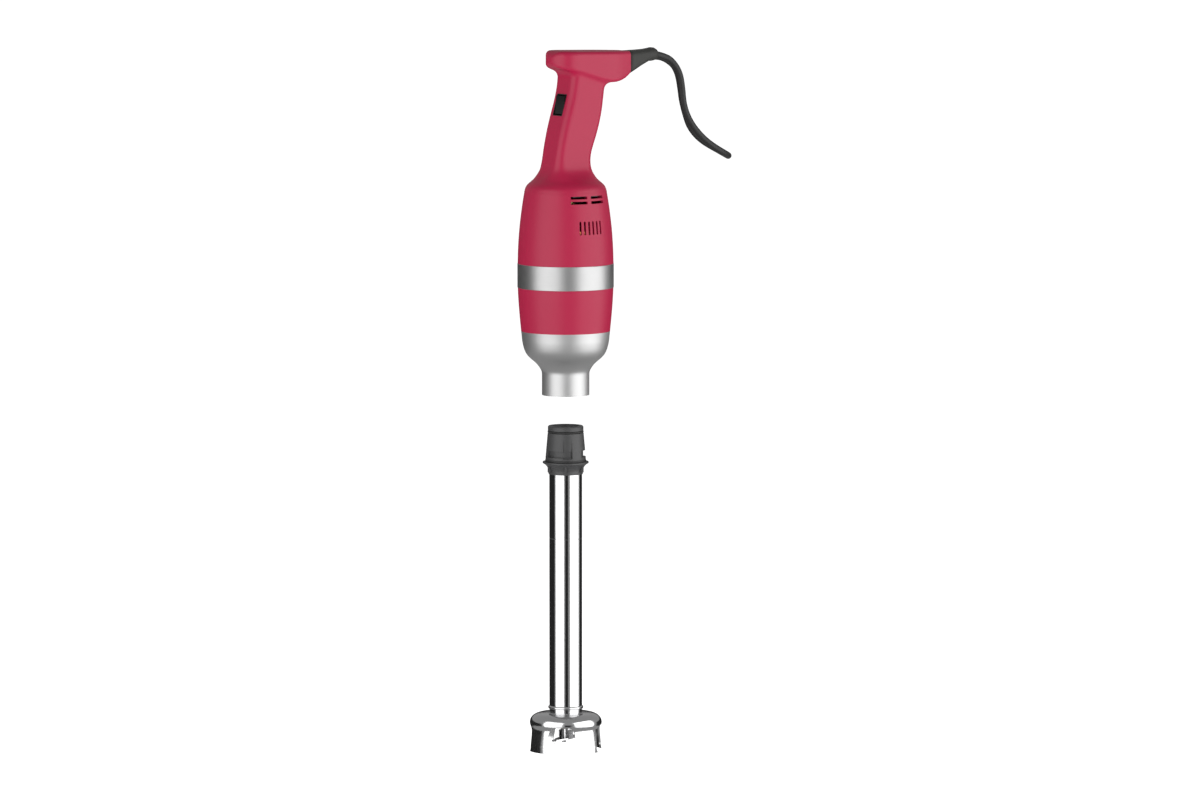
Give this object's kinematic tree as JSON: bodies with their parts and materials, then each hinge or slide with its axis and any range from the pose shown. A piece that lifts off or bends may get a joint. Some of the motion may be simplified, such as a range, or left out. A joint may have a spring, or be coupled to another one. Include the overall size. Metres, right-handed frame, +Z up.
{
  "type": "immersion blender",
  "caption": "Hand blender: barrel motor unit with leaning grip and hammer head, rocker switch, mains lead, and a twist-off steel shaft with bell guard and blade.",
  "frame": {"origin": "centre of the rim of the motor unit's neck, where the shaft couples", "axes": "+Z up the working axis from the shaft to the motor unit; the switch faces -X, the hammer head and lead point to +X"},
  "size_m": [0.2724, 0.1521, 0.706],
  "materials": {
    "housing_plastic": "satin crimson moulded plastic",
    "band_steel": "brushed stainless band",
    "nose_aluminium": "satin cast aluminium",
    "gland_rubber": "dark grey moulded rubber",
    "cord_rubber": "black rubber mains lead",
    "switch_plastic": "black moulded switch",
    "coupling_plastic": "dark grey glass-filled plastic",
    "seal_rubber": "black seal",
    "shaft_steel": "polished stainless steel",
    "blade_steel": "ground stainless steel",
    "machine_steel": "turned steel",
    "lamination_steel": "varnished laminations",
    "copper": "enamelled copper",
    "brass": "brass",
    "carbon": "carbon",
    "inner_plastic": "natural moulded plastic"
  },
  "bodies": {
    "motor_unit": {"housing_right": "housing_plastic", "housing_left": "housing_plastic", "trim_band": "band_steel", "nose_casting": "nose_aluminium", "output_seal": "seal_rubber", "nose_screws": "machine_steel", "nose_plate": "inner_plastic", "stator_core": "lamination_steel", "field_coils": "copper", "lower_bearing": "machine_steel", "bearing_bridge": "inner_plastic", "upper_bearing": "machine_steel", "brush_holders": "brass", "carbon_brushes": "carbon", "brush_springs": "brass", "capacitor": "inner_plastic", "switch_frame": "switch_plastic", "switch_body": "switch_plastic", "cable_gland": "gland_rubber", "inner_lead": "cord_rubber", "cord_clamp": "inner_plastic", "clamp_screws": "machine_steel", "housing_screws": "machine_steel", "cord_lead": "cord_rubber", "cord_hank": "cord_rubber", "cord_tie": "coupling_plastic", "cord_tail": "cord_rubber", "plug_body": "cord_rubber", "plug_pins": "brass"},
    "rocker": {"switch_rocker": "switch_plastic"},
    "rotor": {"motor_shaft": "machine_steel", "drive_socket": "coupling_plastic", "cooling_fan": "inner_plastic", "armature_core": "lamination_steel", "armature_coils": "copper", "commutator": "copper"},
    "seal": {"seal_ring": "seal_rubber"},
    "shaft": {"coupling_plug": "coupling_plastic", "o_ring": "seal_rubber", "top_bush": "brass", "tube": "shaft_steel", "weld_collar": "shaft_steel", "bell_guard": "shaft_steel", "bottom_bush": "brass"},
    "blade_drive": {"drive_rod": "machine_steel", "drive_dog": "coupling_plastic", "blade_hub": "blade_steel", "blade": "blade_steel", "blade_nut": "blade_steel"}
  },
  "joints": [
    {"name": "rocker_tilt", "type": "hinge", "parent": "motor_unit", "child": "rocker", "pos_m": [-0.00284, 0, 0.29051], "axis": [0, 1, 0], "range_deg": [0, 16]},
    {"name": "rotor_spin", "type": "hinge", "parent": "motor_unit", "child": "rotor", "pos_m": [0, 0, 0.1], "axis": [0, 0, 1], "continuous": true},
    {"name": "shaft_insert", "type": "slide", "parent": "motor_unit", "child": "seal", "axis": [0, 0, 1], "range_m": [0, 0.0672]},
    {"name": "shaft_twist", "type": "hinge", "parent": "seal", "child": "shaft", "pos_m": [0, 0, -0.06], "axis": [0, 0, 1], "range_deg": [0, 60]},
    {"name": "blade_spin", "type": "hinge", "parent": "shaft", "child": "blade_drive", "pos_m": [0, 0, -0.3], "axis": [0, 0, 1], "continuous": true}
  ],
  "couplings": [
    {"joint": "blade_spin", "follows": "rotor_spin", "ratio": 1}
  ]
}
